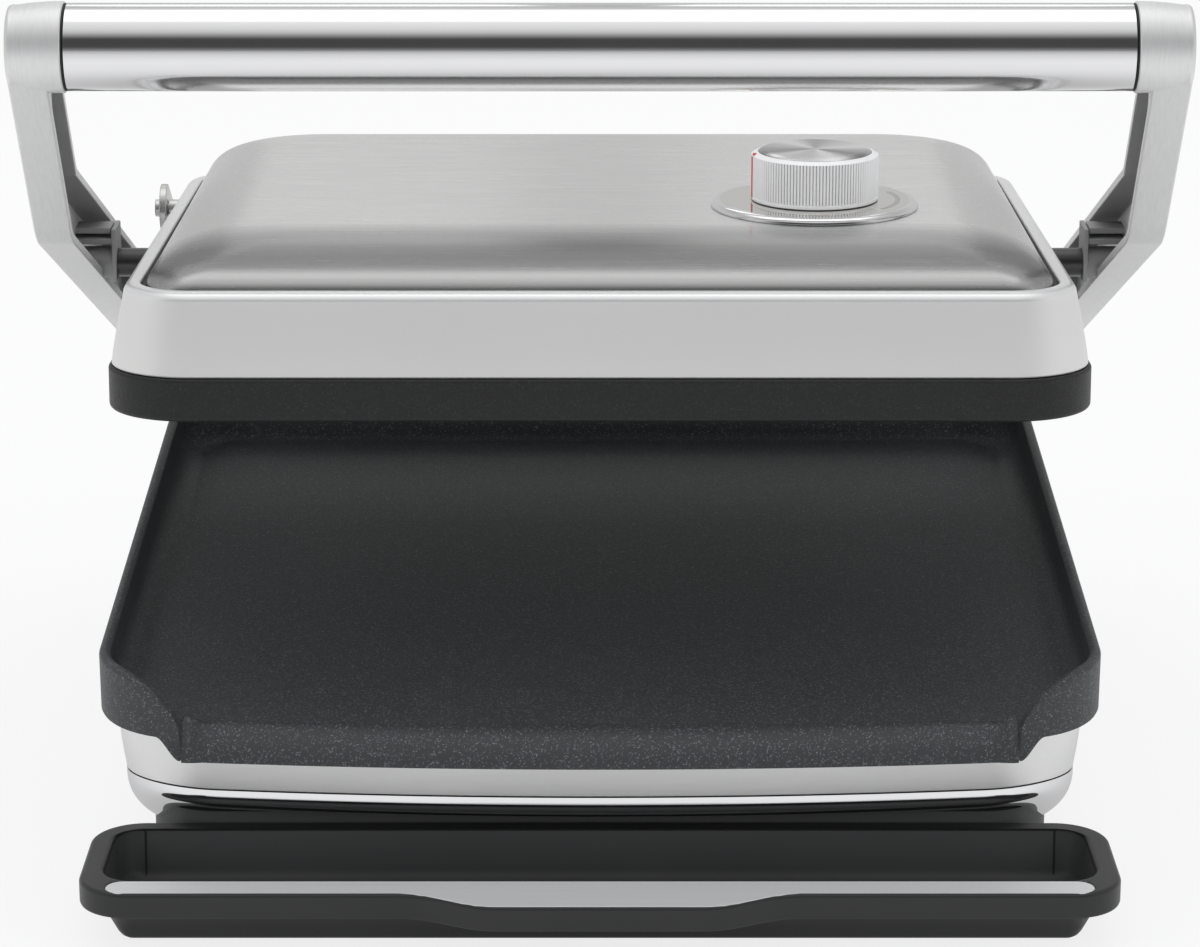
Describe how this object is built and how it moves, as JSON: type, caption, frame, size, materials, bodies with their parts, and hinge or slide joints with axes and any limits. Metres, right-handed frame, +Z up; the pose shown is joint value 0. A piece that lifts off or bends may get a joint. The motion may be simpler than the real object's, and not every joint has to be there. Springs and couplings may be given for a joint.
{
  "type": "electric contact grill",
  "caption": "Countertop electric contact grill with a flat sloping lower plate, a floating domed lid on handle arms, a dial and a slide-out drip tray.",
  "frame": {"origin": "on the worktop, under the middle of the outline with the lid lifted and the tray in place", "axes": "+X to the right seen from the front, +Y to the back, +Z up"},
  "size_m": [0.358, 0.372, 0.27],
  "materials": {
    "brushed_steel": "satin brushed",
    "satin_skirt": "satin",
    "polished_steel": "polished",
    "cast_arms": "brushed casting",
    "nonstick_casting": "non-stick coated casting",
    "black_plastic": "fine matt",
    "black_rubber": "matt",
    "steel_hardware": "zinc plated",
    "black_pins": "black oxide",
    "inner_castings": "as cast",
    "heater": "oxidised",
    "reflector": "bright sheet",
    "ceramic": "glazed",
    "thermostat_body": "phenolic",
    "knob_silver": "metallised",
    "spun_cap": "spun",
    "pointer_red": "glossy",
    "lens_amber": "glossy",
    "print_grey": "printed"
  },
  "bodies": {
    "base": {"feet": "black_rubber", "base_pan": "black_plastic", "base_screws": "steel_hardware", "base_shell": "brushed_steel", "chrome_trim": "polished_steel", "rear_housing": "black_plastic", "left_hinge_post": "black_plastic", "right_hinge_post": "black_plastic", "housing_screws": "steel_hardware", "post_screws": "steel_hardware", "cord_gland": "black_rubber", "terminal_block": "ceramic", "tray_runners": "black_plastic", "plate_posts": "steel_hardware", "lower_plate": "nonstick_casting", "lower_element": "heater", "lower_reflector": "reflector", "thermal_fuse": "ceramic"},
    "carrier": {"hinge_shaft": "steel_hardware", "link_crank": "steel_hardware", "crank_pin": "steel_hardware"},
    "arms": {"left_arm": "cast_arms", "right_arm": "cast_arms", "handle_tube": "polished_steel", "handle_collars": "black_rubber", "tie_rod": "steel_hardware"},
    "lid": {"left_pivot_pin": "black_pins", "right_pivot_pin": "black_pins", "left_pivot_block": "inner_castings", "right_pivot_block": "inner_castings", "upper_plate": "nonstick_casting", "upper_element": "heater", "upper_reflector": "reflector", "lid_skirt": "satin_skirt", "lid_dome": "brushed_steel", "dome_seal": "black_rubber", "lid_screws": "steel_hardware", "link_bolt": "steel_hardware", "link_spacer": "steel_hardware", "thermostat": "thermostat_body", "dial_bezel": "polished_steel", "indicator_lens": "lens_amber", "dial_marks": "print_grey"},
    "dial": {"thermostat_spindle": "steel_hardware", "dial_knob": "knob_silver", "knob_cap": "spun_cap", "knob_pointer": "pointer_red"},
    "link": {"levelling_link": "steel_hardware"},
    "tray": {"drip_tray": "black_plastic", "tray_strip": "brushed_steel"}
  },
  "joints": [
    {"name": "open_swing", "type": "hinge", "parent": "base", "child": "carrier", "pos_m": [0, 0.1735, 0.117], "axis": [-1, 0, 0], "range_deg": [0, 75]},
    {"name": "lift", "type": "hinge", "parent": "carrier", "child": "arms", "pos_m": [0, 0.1735, 0.117], "axis": [-1, 0, 0], "range_deg": [-20.92, 0]},
    {"name": "lid_level", "type": "hinge", "parent": "arms", "child": "lid", "pos_m": [0, 0.038, 0.1628], "axis": [-1, 0, 0], "range_deg": [0, 14]},
    {"name": "link_turn", "type": "hinge", "parent": "lid", "child": "link", "pos_m": [-0.1524, 0.09576, 0.16897], "axis": [-1, 0, 0], "range_deg": [-35.8, 0]},
    {"name": "dial_turn", "type": "hinge", "parent": "lid", "child": "dial", "pos_m": [0.068, -0.03399, 0.19786], "axis": [0, 0.0126, 0.9999], "range_deg": [-250, 0]},
    {"name": "tray_slide", "type": "slide", "parent": "base", "child": "tray", "axis": [0, -1, 0], "range_m": [0, 0.05]}
  ],
  "couplings": [
    {"joint": "lid_level", "follows": "lift", "ratio": -0.66789},
    {"joint": "link_turn", "follows": "lift", "ratio": 1.7065}
  ]
}
